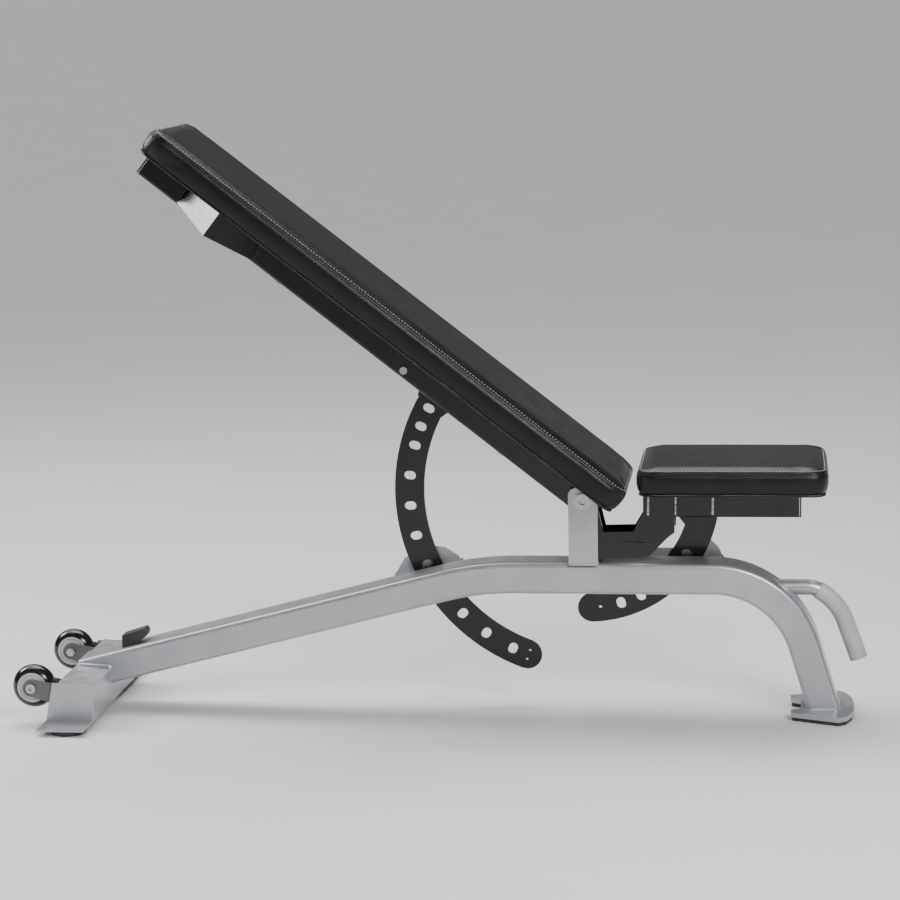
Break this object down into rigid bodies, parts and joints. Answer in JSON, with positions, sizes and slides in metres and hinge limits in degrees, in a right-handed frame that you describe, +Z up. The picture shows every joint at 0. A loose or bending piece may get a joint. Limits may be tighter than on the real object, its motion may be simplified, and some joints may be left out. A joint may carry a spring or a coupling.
{
  "type": "adjustable weight bench",
  "caption": "Adjustable weight bench with a reclining back pad, tilting seat, curved slotted adjuster plates, pull pins, transport wheels and a lifting handle.",
  "frame": {"origin": "floor point under the middle of the bounding box, with the bench as drawn: back reclined 38 degrees and seat level", "axes": "+X along the bench from the wheels to the handle, +Y across it away from the side the pivot bolt's head is on, +Z up"},
  "size_m": [1.3705, 0.428, 0.9623],
  "materials": {
    "silver_paint": "satin metallic silver powder coat",
    "black_paint": "gloss",
    "grey_paint": "satin",
    "black_plastic": "fine texture",
    "grey_plastic": "semi-gloss",
    "black_vinyl": "fine-grain upholstery vinyl, semi-gloss",
    "grip_vinyl": "smooth dipped vinyl",
    "plywood": "raw ply",
    "foot_rubber": "matte",
    "wheel_rubber": "smooth",
    "zinc_steel": "bright zinc"
  },
  "bodies": {
    "base": {"main_tube": "silver_paint", "rear_crossmember": "silver_paint", "end_bracket_near": "silver_paint", "end_bracket_far": "silver_paint", "rubber_foot_near": "foot_rubber", "rubber_foot_far": "foot_rubber", "wheel_strap_near_outer": "grey_paint", "wheel_strap_near_inner": "grey_paint", "wheel_strap_far_inner": "grey_paint", "wheel_strap_far_outer": "grey_paint", "axle_bolt_near": "zinc_steel", "axle_bolt_far": "zinc_steel", "axle_nut_near": "zinc_steel", "axle_nut_far": "zinc_steel", "front_foot": "silver_paint", "front_foot_pad": "foot_rubber", "post_bracket": "silver_paint", "pivot_bolt": "zinc_steel", "pivot_nut": "zinc_steel", "pivot_washer_near": "zinc_steel", "pivot_washer_far": "zinc_steel", "back_lock_bracket": "black_paint", "back_lock_barrel": "zinc_steel", "seat_lock_bracket": "black_paint", "seat_lock_barrel": "zinc_steel", "handle_tube": "silver_paint", "handle_grip": "grip_vinyl", "rest_bumper": "foot_rubber"},
    "back": {"back_tube": "black_paint", "back_cap": "black_plastic", "back_pivot_bush": "zinc_steel", "back_wing_near": "black_paint", "back_wing_far": "black_paint", "back_arc": "black_paint", "back_arc_spacer": "black_paint", "back_board": "plywood", "back_pad": "black_vinyl", "back_side_bolt": "zinc_steel", "back_bolt_upper": "zinc_steel", "back_bolt_lower": "zinc_steel"},
    "seat": {"seat_tube": "black_paint", "seat_cap": "black_plastic", "seat_arm_near": "black_paint", "seat_arm_far": "black_paint", "seat_washer_near": "zinc_steel", "seat_washer_far": "zinc_steel", "seat_arc": "black_paint", "seat_arc_spacer": "black_paint", "seat_board": "plywood", "seat_pad": "black_vinyl"},
    "back_pin": {"back_lock_pin": "zinc_steel", "back_lock_knob": "black_plastic"},
    "seat_pin": {"seat_lock_pin": "zinc_steel", "seat_lock_knob": "black_plastic"},
    "wheel_near": {"wheel_tyre_near": "wheel_rubber", "wheel_hub_near": "grey_plastic"},
    "wheel_far": {"wheel_tyre_far": "wheel_rubber", "wheel_hub_far": "grey_plastic"}
  },
  "joints": [
    {"name": "back_recline", "type": "hinge", "parent": "base", "child": "back", "pos_m": [0.23374, 0, 0.353], "axis": [0, -1, 0], "range_deg": [-40, 53]},
    {"name": "seat_tilt", "type": "hinge", "parent": "base", "child": "seat", "pos_m": [0.23374, 0, 0.353], "axis": [0, -1, 0], "range_deg": [0, 41.2]},
    {"name": "back_lock_pull", "type": "slide", "parent": "base", "child": "back_pin", "axis": [0, -1, 0], "range_m": [0, 0.0077]},
    {"name": "seat_lock_pull", "type": "slide", "parent": "base", "child": "seat_pin", "axis": [0, -1, 0], "range_m": [0, 0.0077]},
    {"name": "wheel_near_spin", "type": "hinge", "parent": "base", "child": "wheel_near", "pos_m": [-0.65026, -0.129, 0.063], "axis": [0, 1, 0], "continuous": true},
    {"name": "wheel_far_spin", "type": "hinge", "parent": "base", "child": "wheel_far", "pos_m": [-0.65026, 0.129, 0.063], "axis": [0, 1, 0], "continuous": true}
  ]
}
